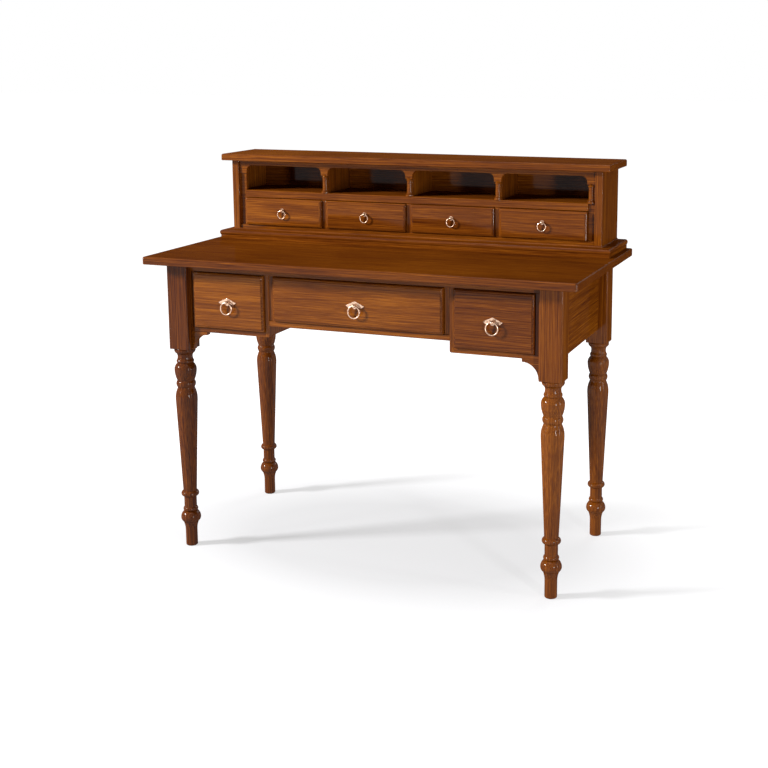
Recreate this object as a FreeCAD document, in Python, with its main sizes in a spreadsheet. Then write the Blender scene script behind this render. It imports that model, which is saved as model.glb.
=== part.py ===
import FreeCAD, Part
import math
import os
from types import SimpleNamespace

import Sketcher

# Bonheur du jour: a small writing desk on turned legs, with three drawers under the top and a
# low superstructure that holds four small drawers under a row of pigeonholes.
# Millimetres. X runs to the right, Y to the back and Z up; the origin lies on the floor under
# the middle of the tabletop. Drawers slide towards -Y.

DIMENSIONS = (
    ("table_width", 1150, "tabletop, side to side"),
    ("table_depth", 570, "tabletop, front to back"),
    ("table_height", 790, "writing surface above the floor"),
    ("top_thickness", 20, "tabletop board"),
    ("top_corner_round", 7, "tabletop corners, seen from above"),
    ("top_edge_round", 4, "arris of the tabletop"),
    ("side_overhang", 45, "tabletop beyond the leg blocks at the sides"),
    ("front_overhang", 42, "tabletop beyond the leg blocks at the front"),
    ("back_overhang", 29, "tabletop beyond the leg blocks at the back"),
    ("block_side", 58, "square block at the head of a leg"),
    ("block_round", 4, "eased corners of the block"),
    ("foot_radius", 15.5, "turned foot"),
    ("foot_round", 3.5, "rounded rim under the foot"),
    ("foot_height", 44, "floor to the sweep above the foot"),
    ("sweep_height", 23, "hollow sweep from the foot to the lower bulb"),
    ("low_bulb_edge", 20.2, "lower bulb at its foot and its head"),
    ("low_bulb_radius", 26.2, "lower bulb at its fullest"),
    ("low_bulb_rise", 12, "lower bulb, foot to fullest"),
    ("low_bulb_fall", 15, "lower bulb, fullest to head"),
    ("low_groove", 2.5, "groove between the lower bulb and the bead above it"),
    ("low_bead_radius", 19.5, "bead above the lower bulb"),
    ("low_bead_height", 11.5, "bead above the lower bulb"),
    ("low_neck_radius", 16.3, "neck between that bead and the lower ring"),
    ("low_neck_length", 29, "neck between that bead and the lower ring"),
    ("low_ring_radius", 23.3, "lower ring"),
    ("low_ring_height", 16, "lower ring"),
    ("column_foot_radius", 17.6, "tapered column at its foot"),
    ("column_head_radius", 28.6, "tapered column at its fullest"),
    ("column_round", 27, "rounded head of the column above its fullest"),
    ("shoulder_height", 12, "rounding of the column below its fullest"),
    ("shoulder_ease", 0.4, "radius gained over that rounding"),
    ("neck_radius", 22.3, "neck between the column and the upper ring"),
    ("neck_length", 3, "neck between the column and the upper ring"),
    ("ring_radius", 25.4, "upper ring"),
    ("ring_height", 17.5, "upper ring"),
    ("bulb_rise", 30.5, "upper bulb, foot to fullest"),
    ("bulb_radius", 28.8, "upper bulb at its fullest"),
    ("bulb_fall", 15.5, "upper bulb, fullest to head"),
    ("bulb_edge", 21.8, "upper bulb at its head"),
    ("groove_radius", 20.8, "groove and bead between the upper bulb and the cove"),
    ("groove_height", 1.5, "groove between the upper bulb and that bead"),
    ("bead_radius", 22.8, "bead between the upper bulb and the cove"),
    ("bead_height", 9, "bead between the upper bulb and the cove"),
    ("cove_radius", 19.5, "cove under the collar"),
    ("cove_height", 18, "cove under the collar"),
    ("collar_radius", 27.7, "collar under the block"),
    ("collar_height", 13, "collar under the block"),
    ("collar_round", 5.5, "collar, fullest to the block"),
    ("collar_head_radius", 25.7, "collar where it meets the block"),
    ("apron_thickness", 20, "side and back aprons"),
    ("apron_recess", 25, "aprons behind the outer faces of the leg blocks"),
    ("side_apron_height", 190, "depth of a side apron below the tabletop"),
    ("frame_recess", 18, "front frame behind the leg blocks"),
    ("top_rail_height", 20, "front rail under the tabletop"),
    ("top_rail_depth", 60, "front rail, front to back"),
    ("side_case_depth", 179, "side drawer cases below the tabletop"),
    ("middle_case_depth", 150, "middle drawer case below the tabletop"),
    ("side_board", 12, "bottom board of a side drawer case"),
    ("middle_board", 14, "bottom board of the middle drawer case"),
    ("partition_half_span", 255, "centre line to the outer face of a partition"),
    ("partition_wall", 11, "partition below the middle case"),
    ("partition_cheek", 14, "extra thickness beside the middle drawer"),
    ("cheek_setback", 3, "front of that cheek behind the front frame"),
    ("partition_round", 5, "lower inner corner of a partition"),
    ("outer_cheek", 13, "cheek between a side drawer and the leg"),
    ("bracket_height", 48, "corner bracket and leg block below a side drawer case"),
    ("bracket_shoulder", 8, "upright end of the bracket under the case"),
    ("bracket_lip", 1, "flat between that end and the hollow"),
    ("bracket_foot", 5, "flat end of the bracket at the leg"),
    ("bracket_thickness", 16, "corner bracket, front to back"),
    ("drawer_gap", 1, "clearance round a drawer front"),
    ("runner_gap", 0.3, "clearance under a drawer box"),
    ("drawer_proud", 10, "table drawer fronts before the front frame"),
    ("front_inset", 12, "part of a table drawer front inside the frame"),
    ("front_edge_round", 4.5, "rounded rim of a table drawer front"),
    ("field_margin", 5.5, "raised field inside the rim"),
    ("field_raise", 1.8, "height of the raised field"),
    ("drawer_back_gap", 21, "back apron behind a table drawer box"),
    ("box_side", 10, "sides and back of a table drawer box"),
    ("box_top_gap", 13, "opening above a table drawer box"),
    ("box_panel", 5, "bottom panel of a table drawer box"),
    ("box_panel_rise", 8, "bottom panel above the lower edge of the sides"),
    ("pull_standoff", 9, "ring of a table pull before the drawer front"),
    ("pull_ring_radius", 15.3, "table ring, to the middle of its wire"),
    ("pull_wire_radius", 1.7, "wire of a table ring"),
    ("pull_post_radius", 4.6, "post that holds a table ring"),
    ("plate_half_width", 24.8, "pull plate, centre to wing tip"),
    ("plate_rise", 11, "crest of the pull plate above the pivot"),
    ("plate_tip_drop", 0.5, "wing tips below the pivot"),
    ("wing_half_width", 17, "centre to the lower corner of a wing"),
    ("wing_drop", 6.6, "lower corners of the wings below the pivot"),
    ("wing_root_drop", 1.8, "wings below the pivot, where they meet the tongue"),
    ("tongue_half_width", 6.2, "tongue under the post"),
    ("tongue_drop", 4, "straight sides of the tongue below the pivot"),
    ("tongue_radius", 6.5, "rounded end of the tongue"),
    ("plate_thickness", 2, "pull plate"),
    ("pull_clearance", 0.3, "ring wire inside its eye"),
    ("carcase_inset", 43, "superstructure inside the ends of the tabletop"),
    ("carcase_depth", 171, "superstructure, front to back"),
    ("carcase_height", 217.5, "superstructure sides"),
    ("carcase_side", 20, "superstructure side boards"),
    ("carcase_side_round", 1.5, "eased front edges of those boards"),
    ("cornice_thickness", 18.5, "top board of the superstructure"),
    ("cornice_side_overhang", 22.5, "top board beyond the sides"),
    ("cornice_front_overhang", 19, "top board beyond the front"),
    ("cornice_edge_round", 4, "arris of that top board"),
    ("plinth_projection", 29, "base moulding beyond the sides and front"),
    ("plinth_foot", 9.5, "straight foot of the base moulding"),
    ("plinth_inset", 2.5, "that foot behind the rounded nose"),
    ("plinth_shoulder", 23, "height of the moulding over its nose"),
    ("plinth_cove", 4, "hollow between the moulding and the sides"),
    ("face_recess", 5, "inner front of the superstructure behind its sides"),
    ("back_panel", 12, "back panel of the superstructure"),
    ("floor_board", 18, "bottom board of the superstructure"),
    ("floor_top", 37, "top of that board above the tabletop"),
    ("small_opening_height", 77, "opening for a small drawer"),
    ("shelf_thickness", 20, "shelf between drawers and pigeonholes"),
    ("shelf_round", 2, "front edge of the shelf"),
    ("end_column_inset", 12, "outer columns inside the side boards"),
    ("small_partition", 13, "board between two small drawers"),
    ("divider", 14, "board between two pigeonholes"),
    ("small_proud", 10, "small drawer fronts before the shelf's front"),
    ("small_front_inset", 8, "part of a small front inside its opening"),
    ("small_bevel", 7, "bevelled rim of a small drawer front"),
    ("small_bevel_depth", 4.5, "depth of that bevel"),
    ("small_back_gap", 11, "back panel behind a small drawer box"),
    ("small_box_side", 8, "sides and back of a small drawer box"),
    ("small_box_top_gap", 9, "opening above a small drawer box"),
    ("small_box_panel", 4, "bottom panel of a small drawer box"),
    ("small_pull_rise", 6, "small pull above the middle of its drawer"),
    ("small_standoff", 7, "ring of a small pull before the drawer front"),
    ("small_ring_radius", 11.2, "small ring, to the middle of its wire"),
    ("small_wire_radius", 1.5, "wire of a small ring"),
    ("small_post_radius", 3.4, "post that holds a small ring"),
    ("rosette_radius", 5.8, "round plate of a small pull"),
    ("rosette_thickness", 1.6, "thickness of that plate"),
    ("arcade_thickness", 14, "arcaded front of the pigeonholes"),
    ("arcade_setback", 1, "arcade behind the shelf's front edge"),
    ("stile_setback", 5, "end stiles behind the shelf's front edge"),
    ("end_stile", 18.5, "stile at each end of the arcade"),
    ("frieze_height", 13.5, "arcade above the pigeonhole openings"),
    ("arch_radius", 16, "rounded upper corners of the pigeonholes"),
    ("capital_half_width", 10, "flat under the spandrel, beside the column"),
    ("spandrel_height", 36, "arcade head, from the cornice to the capitals"),
    ("shaft_radius", 7.5, "little column at its foot"),
    ("shaft_top_radius", 6.9, "little column at its head"),
    ("base_radius", 11, "base of a little column"),
    ("base_height", 4.5, "base of a little column"),
    ("torus_radius", 9.5, "ring above that base"),
    ("torus_height", 3.5, "ring above that base"),
    ("astragal_radius", 9.2, "ring under the capital"),
    ("astragal_height", 3, "ring under the capital"),
    ("bell_height", 6, "flared capital above that ring"),
    ("capital_radius", 9.2, "flared capital at its head"),
)

PAST = 1  # a cut or a seated pad runs this far past the face it starts from

doc = FreeCAD.newDocument("BonheurDuJour")
pieces = []


class Size:
    """A length known as a number and as the expression that works it out from the sheet."""

    def __init__(self, value, text):
        self.value = value
        self.text = text

    @staticmethod
    def of(other):
        """Give a Size for a Size or a plain number."""
        return other if isinstance(other, Size) else Size(float(other), "%g" % other)

    def join(self, sign, other, value):
        """Combine two sizes with an arithmetic sign."""
        return Size(value, "(%s %s %s)" % (self.text, sign, Size.of(other).text))

    def __add__(self, other):
        return self.join("+", other, self.value + Size.of(other).value)

    def __sub__(self, other):
        return self.join("-", other, self.value - Size.of(other).value)

    def __mul__(self, other):
        return self.join("*", other, self.value * Size.of(other).value)

    def __truediv__(self, other):
        return self.join("/", other, self.value / Size.of(other).value)

    def __rmul__(self, other):
        return Size.of(other) * self

    def __neg__(self):
        return Size(-self.value, "(0 - %s)" % self.text)


def make_sheet(rows):
    """Write the driving dimensions to a spreadsheet and give them back as named sizes."""
    sheet = doc.addObject("Spreadsheet::Sheet", "Sizes")
    sizes = {}
    for row, (alias, value, note) in enumerate(rows, start=1):
        sheet.set("A%d" % row, alias)
        sheet.set("B%d" % row, str(value))
        sheet.setAlias("B%d" % row, alias)
        sheet.set("C%d" % row, note)
        sizes[alias] = Size(float(value), "Sizes.%s" % alias)
    doc.recompute()
    return SimpleNamespace(**sizes)


def bind(item, path, size):
    """Tie one property of an object to the sheet."""
    item.setExpression(path, Size.of(size).text)


def place(item, x, y, z):
    """Tie an object's position to the sheet."""
    for axis, size in zip("xyz", (x, y, z)):
        bind(item, "Placement.Base." + axis, size)


def keep(item):
    """List an object as one piece of the desk."""
    item.Label = item.Name
    pieces.append(item)
    return item


# ---- boards and bodies -------------------------------------------------------------------


def board(name, x, y, z):
    """Add a plain board that fills the given limits along X, Y and Z."""
    box = doc.addObject("Part::Box", name)
    for length, (low, high) in zip(("Length", "Width", "Height"), (x, y, z)):
        bind(box, length, high - low)
    place(box, x[0], y[0], z[0])
    return keep(box)


def new_body(name):
    """Start a solid that is made by sketched features."""
    return keep(doc.addObject("PartDesign::Body", name))


def origin_plane(body, role):
    """Find one of a body's own origin planes or axes."""
    return next(item for item in body.Origin.OriginFeatures if item.Role == role)


def sketch_on(body, role, offset, name):
    """Attach an empty sketch to an origin plane, moved along that plane's normal."""
    sketch = body.newObject("Sketcher::SketchObject", body.Name + "_" + name)
    sketch.AttachmentSupport = [(origin_plane(body, role), "")]
    sketch.MapMode = "FlatFace"
    bind(sketch, "AttachmentOffset.Base.z", offset)
    return sketch


def pin_point(sketch, geometry, end, u, v):
    """Hold a point of a sketch at sizes measured from the sketch's origin."""
    for kind, size in (("DistanceX", u), ("DistanceY", v)):
        size = Size.of(size)
        index = sketch.addConstraint(Sketcher.Constraint(kind, -1, 1, geometry, end, size.value))
        bind(sketch, "Constraints[%d]" % index, size)


def arc_between(start, end, radius):
    """Give the arc from start to end; a positive radius turns left, a negative one right."""
    side = math.copysign(1, radius)
    chord = end - start
    height = math.sqrt(max(radius * radius - chord.Length ** 2 / 4, 0))
    left = FreeCAD.Vector(-chord.y, chord.x, 0).normalize()
    centre = (start + end) / 2 + left * height * side
    first, last = (start, end) if side > 0 else (end, start)
    angles = [math.atan2(p.y - centre.y, p.x - centre.x) for p in (first, last)]
    if angles[1] < angles[0]:
        angles[1] += 2 * math.pi
    circle = Part.Circle(centre, FreeCAD.Vector(0, 0, 1), abs(radius))
    return Part.ArcOfCircle(circle, angles[0], angles[1])


def trace(sketch, corners):
    """Draw a closed outline through corners (u, v), or (u, v, radius) where an arc leaves."""
    ends = []
    for index, corner in enumerate(corners):
        following = corners[(index + 1) % len(corners)]
        start = FreeCAD.Vector(Size.of(corner[0]).value, Size.of(corner[1]).value, 0)
        end = FreeCAD.Vector(Size.of(following[0]).value, Size.of(following[1]).value, 0)
        if len(corner) == 2:
            geometry = sketch.addGeometry(Part.LineSegment(start, end), False)
            ends.append((geometry, 1, 2))
            continue
        radius = corner[2]
        geometry = sketch.addGeometry(arc_between(start, end, radius.value), False)
        ends.append((geometry, 1, 2) if radius.value > 0 else (geometry, 2, 1))
        index = sketch.addConstraint(Sketcher.Constraint("Radius", geometry, abs(radius.value)))
        bind(sketch, "Constraints[%d]" % index, radius if radius.value > 0 else -radius)
    for index, corner in enumerate(corners):
        geometry, first, _ = ends[index]
        before, _, last = ends[index - 1]
        sketch.addConstraint(Sketcher.Constraint("Coincident", before, last, geometry, first))
        pin_point(sketch, geometry, first, corner[0], corner[1])
    return sketch


def rectangle(u, v):
    """Give the corners of a rectangle between two limits each way."""
    return [(u[0], v[0]), (u[1], v[0]), (u[1], v[1]), (u[0], v[1])]


def add_circle(sketch, u, v, radius):
    """Draw a circle held at its centre."""
    centre = FreeCAD.Vector(Size.of(u).value, Size.of(v).value, 0)
    circle = Part.Circle(centre, FreeCAD.Vector(0, 0, 1), radius.value)
    geometry = sketch.addGeometry(circle, False)
    pin_point(sketch, geometry, 3, u, v)
    index = sketch.addConstraint(Sketcher.Constraint("Radius", geometry, radius.value))
    bind(sketch, "Constraints[%d]" % index, radius)
    return sketch


def pad(body, sketch, length):
    """Raise a sketch along its plane's normal."""
    feature = body.newObject("PartDesign::Pad", sketch.Name + "_pad")
    feature.Profile = sketch
    bind(feature, "Length", length)
    return feature


def pad_up(body, name, corners, z):
    """Raise an outline seen from above between two heights."""
    return pad(body, trace(sketch_on(body, "XY_Plane", z[0], name), corners), z[1] - z[0])


def pad_forward(body, name, corners, y):
    """Raise an outline seen from the front between two depths."""
    return pad(body, trace(sketch_on(body, "XZ_Plane", -y[1], name), corners), y[1] - y[0])


def pocket(body, sketch, length):
    """Cut a sketch against its plane's normal, and make sure that it cuts."""
    doc.recompute()
    before = body.Shape.Volume
    feature = body.newObject("PartDesign::Pocket", sketch.Name + "_pocket")
    feature.Profile = sketch
    bind(feature, "Length", length)
    doc.recompute()
    if body.Shape.Volume >= before:
        raise RuntimeError(feature.Name + " cuts nothing")
    return feature


def revolve(body, sketch, axis):
    """Turn a sketch round one of its own axes."""
    feature = body.newObject("PartDesign::Revolution", sketch.Name + "_turned")
    feature.Profile = sketch
    feature.ReferenceAxis = (sketch, [axis])
    feature.Angle = 360
    return feature


def near(a, b):
    """Tell whether two coordinates are the same."""
    return abs(a - b) < 1e-4


def lies_at(edge, axis, size):
    """Tell whether an edge lies in the plane at a given size along an axis."""
    return all(near(getattr(vertex.Point, axis), size.value) for vertex in edge.Vertexes)


def is_upright(edge):
    """Tell whether an edge stands upright."""
    low, high = edge.Vertexes[0].Point, edge.Vertexes[-1].Point
    return near(low.x, high.x) and near(low.y, high.y) and not near(low.z, high.z)


def round_edges(body, wanted, radius, name):
    """Round the edges of a body that a test picks."""
    doc.recompute()
    base = body.Tip
    edges = [
        "Edge%d" % number
        for number, edge in enumerate(base.Shape.Edges, start=1)
        if wanted(edge)
    ]
    feature = body.newObject("PartDesign::Fillet", body.Name + "_" + name)
    feature.Base = (base, edges)
    bind(feature, "Radius", radius)
    return feature


def mirrored(side, low, high):
    """Give limits along X for the right side (1) or the left side (-1)."""
    return (low, high) if side > 0 else (-high, -low)


SIDES = (("left", -1), ("right", 1))
s = make_sheet(DIMENSIONS)

# ---- levels and planes that several pieces share -----------------------------------------

half_width = s.table_width / 2
half_depth = s.table_depth / 2
underside = s.table_height - s.top_thickness
half_block = s.block_side / 2
leg_x = half_width - s.side_overhang - half_block
leg_front_y = half_block + s.front_overhang - half_depth
leg_back_y = half_depth - s.back_overhang - half_block
leg_inner_x = leg_x - half_block
apron_outer_x = leg_x + half_block - s.apron_recess
apron_inner_x = apron_outer_x - s.apron_thickness
back_apron_outer = leg_back_y + half_block - s.apron_recess
back_apron_inner = back_apron_outer - s.apron_thickness
frame_y = leg_front_y - half_block + s.frame_recess
rail_bottom = underside - s.top_rail_height
rail_back = frame_y + s.top_rail_depth
side_case_bottom = underside - s.side_case_depth
side_floor = side_case_bottom + s.side_board
block_bottom = side_case_bottom - s.bracket_height
middle_case_bottom = underside - s.middle_case_depth
middle_floor = middle_case_bottom + s.middle_board
partition_outer = s.partition_half_span
partition_inner = partition_outer - s.partition_wall
middle_half_opening = partition_inner - s.partition_cheek
cheek_inner = leg_inner_x - s.outer_cheek

carcase_half = half_width - s.carcase_inset
carcase_inner = carcase_half - s.carcase_side
bay_pitch = (carcase_inner - s.end_column_inset) / 2
carcase_back = half_depth
carcase_front = carcase_back - s.carcase_depth
carcase_top = s.table_height + s.carcase_height
panel_front = carcase_back - s.back_panel
face_y = carcase_front + s.face_recess
floor_top = s.table_height + s.floor_top
shelf_bottom = floor_top + s.small_opening_height
shelf_top = shelf_bottom + s.shelf_thickness
arcade_front = face_y + s.arcade_setback
arcade_back = arcade_front + s.arcade_thickness
stile_inner = carcase_inner - s.end_stile

# ---- table -------------------------------------------------------------------------------


def make_tabletop():
    """Make the writing surface: one board with rounded corners and arrises."""
    body = new_body("tabletop")
    across, along = (-half_width, half_width), (-half_depth, half_depth)
    pad_up(body, "outline", rectangle(across, along), (underside, s.table_height))
    round_edges(body, is_upright, s.top_corner_round, "corners")
    upper, lower = s.table_height, underside
    round_edges(body, lambda e: lies_at(e, "z", upper), s.top_edge_round, "upper_arris")
    round_edges(body, lambda e: lies_at(e, "z", lower), s.top_edge_round / 2, "lower_arris")


class Turning:
    """A turned outline that climbs from one (radius, height) point to the next."""

    def __init__(self, radius, height):
        self.corners = [(Size.of(radius), Size.of(height))]

    def line(self, radius, height):
        """Go straight to a point."""
        self.corners.append((Size.of(radius), Size.of(height)))

    def round(self, radius, height, bend):
        """Go to a point along an arc of a given radius."""
        self.corners[-1] += (bend,)
        self.line(radius, height)

    def sweep(self, radius, height):
        """Leave the last point upright and widen to the next along a hollow arc."""
        across = radius - self.corners[-1][0]
        along = height - self.corners[-1][1]
        self.round(radius, height, -((across * across + along * along) / (2 * across)))

    def swell(self, middle, end):
        """Swell or narrow to an upright middle point and on to the end, in two arcs."""
        for fixed, point in ((self.corners[-1], middle), (end, end)):
            across = middle[0] - fixed[0]
            along = middle[1] - fixed[1]
            self.round(*point, (across * across + along * along) / (2 * across))

    def hoop(self, radius, end_radius, end):
        """Swell from the last point to a ring's fullest, halfway to where it ends."""
        middle = (self.corners[-1][1] + end) / 2
        self.swell((radius, middle), (end_radius, end))

    def bead(self, radius, low, high):
        """Step out to a half-round bead between two heights."""
        half = (high - low) / 2
        self.line(radius - half, low)
        self.round(radius, low + half, half)
        self.round(radius - half, high, half)

    def about(self, axis):
        """Give the outline closed along an axis that stands at a given distance."""
        corners = [(axis + corner[0], *corner[1:]) for corner in self.corners]
        return [(axis, corners[0][1]), *corners, (axis, corners[-1][1])]


def trace_leg_foot(turning):
    """Add the lower turnings, stacked up from the floor, to a leg's outline."""
    low_bulb_foot = s.foot_height + s.sweep_height
    low_bulb = low_bulb_foot + s.low_bulb_rise
    low_bulb_head = low_bulb + s.low_bulb_fall
    low_bead_foot = low_bulb_head + s.low_groove
    low_bead_head = low_bead_foot + s.low_bead_height
    low_ring_foot = low_bead_head + s.low_neck_length
    turning.round(s.foot_radius, s.foot_round, s.foot_round)
    turning.line(s.foot_radius, s.foot_height)
    turning.sweep(s.low_bulb_edge, low_bulb_foot)
    turning.swell((s.low_bulb_radius, low_bulb), (s.low_bulb_edge, low_bulb_head))
    turning.line(s.low_neck_radius, low_bead_foot)
    turning.hoop(s.low_bead_radius, s.low_neck_radius, low_bead_head)
    turning.line(s.low_neck_radius, low_ring_foot)
    turning.hoop(s.low_ring_radius, s.column_foot_radius, low_ring_foot + s.low_ring_height)


def trace_leg_head(turning):
    """Add the column and the upper turnings, hung from the block, to a leg's outline."""
    collar_foot = block_bottom - s.collar_height
    cove_foot = collar_foot - s.cove_height
    bead_foot = cove_foot - s.bead_height
    bulb_head = bead_foot - s.groove_height
    bulb = bulb_head - s.bulb_fall
    ring_head = bulb - s.bulb_rise
    ring_foot = ring_head - s.ring_height
    column_head = ring_foot - s.neck_length
    column_full = column_head - s.column_round
    collar_edge = (s.collar_radius + s.cove_radius) / 2
    turning.line(s.column_head_radius - s.shoulder_ease, column_full - s.shoulder_height)
    turning.swell((s.column_head_radius, column_full), (s.neck_radius, column_head))
    turning.line(s.neck_radius, ring_foot)
    turning.hoop(s.ring_radius, s.neck_radius, ring_head)
    turning.swell((s.bulb_radius, bulb), (s.bulb_edge, bulb_head))
    turning.line(s.groove_radius, bead_foot)
    turning.hoop(s.bead_radius, s.groove_radius, cove_foot)
    turning.hoop(s.cove_radius, collar_edge, collar_foot)
    collar = block_bottom - s.collar_round
    turning.swell((s.collar_radius, collar), (s.collar_head_radius, block_bottom))


def leg_profile():
    """Give the turned outline of a leg from the floor to the block."""
    turning = Turning(s.foot_radius - s.foot_round, 0)
    trace_leg_foot(turning)
    trace_leg_head(turning)
    return turning.about(Size.of(0))


def make_leg(name, x, y):
    """Make one leg: a square block over a turned shaft, about its own upright axis."""
    body = new_body(name)
    square = (-half_block, half_block)
    pad_up(body, "block", rectangle(square, square), (block_bottom, underside))
    round_edges(body, is_upright, s.block_round, "eased")
    turning = trace(sketch_on(body, "XZ_Plane", 0, "turning"), leg_profile())
    revolve(body, turning, "V_Axis")
    place(body, x, y, 0)


def make_partition(name, side):
    """Make the board between the middle and a side drawer, rabbeted for the middle case."""
    body = new_body(name)
    radius = s.partition_round
    turn = 1 if side > 0 else -1
    corners = [
        (turn * partition_outer, side_case_bottom),
        (turn * partition_outer, underside),
        (turn * middle_half_opening, underside),
        (turn * middle_half_opening, middle_floor),
        (turn * partition_inner, middle_floor),
        (turn * partition_inner, side_case_bottom + radius, turn * radius),
        (turn * (partition_inner + radius), side_case_bottom),
    ]
    pad_forward(body, "section", corners, (frame_y, back_apron_inner))
    notch = sketch_on(body, "YZ_Plane", partition_outer + PAST, "rail_notch")
    trace(notch, rectangle((frame_y - PAST, rail_back), (rail_bottom, underside + PAST)))
    pocket(body, notch, 2 * partition_outer + 2 * PAST)
    setback = sketch_on(body, "XZ_Plane", -(frame_y - PAST), "setback")
    across = mirrored(side, middle_half_opening - PAST, partition_inner)
    trace(setback, rectangle(across, (middle_floor, rail_bottom + PAST)))
    pocket(body, setback, s.cheek_setback + PAST)


def make_side_bottom(name, side):
    """Make the bottom board of a side drawer case, notched round both legs."""
    body = new_body(name)
    turn = 1 if side > 0 else -1
    front_notch = leg_front_y + half_block
    back_notch = leg_back_y - half_block
    corners = [
        (turn * partition_outer, frame_y),
        (turn * leg_inner_x, frame_y),
        (turn * leg_inner_x, front_notch),
        (turn * apron_inner_x, front_notch),
        (turn * apron_inner_x, back_notch),
        (turn * leg_inner_x, back_notch),
        (turn * leg_inner_x, back_apron_inner),
        (turn * partition_outer, back_apron_inner),
    ]
    pad_up(body, "outline", corners, (side_case_bottom, side_floor))


def make_bracket(name, side):
    """Make the hollowed bracket in the corner between a side case and a front leg."""
    body = new_body(name)
    turn = 1 if side > 0 else -1
    radius = s.bracket_height - s.bracket_shoulder
    hollow = leg_inner_x - s.bracket_foot - radius
    tip = hollow - s.bracket_lip
    hollow_top = block_bottom + radius
    corners = [
        (turn * leg_inner_x, side_case_bottom),
        (turn * tip, side_case_bottom),
        (turn * tip, hollow_top),
        (turn * hollow, hollow_top, -turn * radius),
        (turn * (hollow + radius), block_bottom),
        (turn * leg_inner_x, block_bottom),
    ]
    pad_forward(body, "outline", corners, (frame_y, frame_y + s.bracket_thickness))


def make_table():
    """Make the table without its drawers."""
    make_tabletop()
    for side_name, side in SIDES:
        make_leg("leg_front_" + side_name, side * leg_x, leg_front_y)
        make_leg("leg_back_" + side_name, side * leg_x, leg_back_y)
    between_legs = (leg_front_y + half_block, leg_back_y - half_block)
    for side_name, side in SIDES:
        across = mirrored(side, apron_inner_x, apron_outer_x)
        height = (underside - s.side_apron_height, underside)
        board("side_apron_" + side_name, across, between_legs, height)
        make_side_bottom("case_bottom_" + side_name, side)
        make_partition("partition_" + side_name, side)
        across = mirrored(side, cheek_inner, leg_inner_x)
        height = (side_floor, rail_bottom)
        board("drawer_cheek_" + side_name, across, (frame_y, back_apron_inner), height)
        make_bracket("corner_bracket_" + side_name, side)
    across = (-leg_inner_x, leg_inner_x)
    depth = (back_apron_inner, back_apron_outer)
    board("back_apron", across, depth, (side_case_bottom, underside))
    board("front_rail", across, (frame_y, rail_back), (rail_bottom, underside))
    across = (-partition_inner, partition_inner)
    height = (middle_case_bottom, middle_floor)
    board("case_bottom_middle", across, (frame_y, back_apron_inner), height)


# ---- drawers -----------------------------------------------------------------------------


def make_rounded_front(name, x, z, y_face):
    """Make a table drawer front: a rounded rim round a slightly raised field."""
    body = new_body(name)
    shoulder = y_face + s.field_raise
    back = y_face + s.drawer_proud + s.front_inset
    pad_forward(body, "slab", rectangle(x, z), (shoulder, back))
    round_edges(body, lambda e: lies_at(e, "y", shoulder), s.front_edge_round, "rim")
    margin = s.field_margin
    field = rectangle((x[0] + margin, x[1] - margin), (z[0] + margin, z[1] - margin))
    pad_forward(body, "field", field, (y_face, shoulder + PAST))


def make_bevelled_front(name, x, z, y_face):
    """Make a small drawer front: a flat field with a wide bevel all round."""
    body = new_body(name)
    shoulder = y_face + s.small_bevel_depth
    back = y_face + s.small_proud + s.small_front_inset
    pad_forward(body, "slab", rectangle(x, z), (shoulder, back))
    rim = trace(sketch_on(body, "XZ_Plane", -shoulder, "rim"), rectangle(x, z))
    inset = s.small_bevel
    field = rectangle((x[0] + inset, x[1] - inset), (z[0] + inset, z[1] - inset))
    face = trace(sketch_on(body, "XZ_Plane", -y_face, "face"), field)
    loft = body.newObject("PartDesign::AdditiveLoft", name + "_bevel")
    loft.Profile = rim
    loft.Sections = [face]
    loft.Ruled = True


def make_drawer_box(name, x, y, z, wall, panel, panel_rise):
    """Make a drawer box without its front: two sides, a back and a raised bottom panel."""
    body = new_body(name)
    pad_up(body, "outline", rectangle(x, y), z)
    inside = (x[0] + wall, x[1] - wall)
    hollow = sketch_on(body, "XY_Plane", z[1], "hollow")
    trace(hollow, rectangle(inside, (y[0] - PAST, y[1] - wall)))
    pocket(body, hollow, z[1] - z[0] - panel_rise - panel)
    recess = sketch_on(body, "XY_Plane", z[0] + panel_rise, "recess")
    trace(recess, rectangle(inside, (y[0] - PAST, y[1] - wall)))
    pocket(body, recess, panel_rise)


def make_eye(body, standoff, post_radius, wire_radius, ring_radius, seat):
    """Add the domed post of a pull with the cross hole that the ring's wire turns in."""
    sag = post_radius * post_radius / (2 * ring_radius)
    eye_radius = wire_radius + sag + s.pull_clearance
    nose = standoff + post_radius
    profile = sketch_on(body, "YZ_Plane", 0, "post")
    trace(
        profile,
        [
            (-seat, Size.of(0)),
            (-nose, Size.of(0), -post_radius),
            (-standoff, post_radius),
            (-seat, post_radius),
        ],
    )
    revolve(body, profile, "H_Axis")
    hole = sketch_on(body, "YZ_Plane", post_radius + PAST, "eye")
    add_circle(hole, -standoff, 0, eye_radius)
    pocket(body, hole, 2 * (post_radius + PAST))


def make_wing_pull(name, x, y, z):
    """Make the plate of a table pull: two drooping wings, a round tongue below, and a post."""
    body = new_body(name)
    tip, level = s.plate_half_width, -s.plate_tip_drop
    corner, corner_level = s.wing_half_width, -s.wing_drop
    side, root = s.tongue_half_width, -s.wing_root_drop
    end = -s.tongue_drop
    corners = [
        (Size.of(0), s.plate_rise),
        (-tip, level),
        (-corner, corner_level),
        (-side, root),
        (-side, end, s.tongue_radius),
        (side, end),
        (side, root),
        (corner, corner_level),
        (tip, level),
    ]
    pad_forward(body, "plate", corners, (-s.plate_thickness, Size.of(0)))
    make_eye(
        body,
        s.pull_standoff,
        s.pull_post_radius,
        s.pull_wire_radius,
        s.pull_ring_radius,
        s.plate_thickness / 2,
    )
    place(body, x, y, z)


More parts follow.
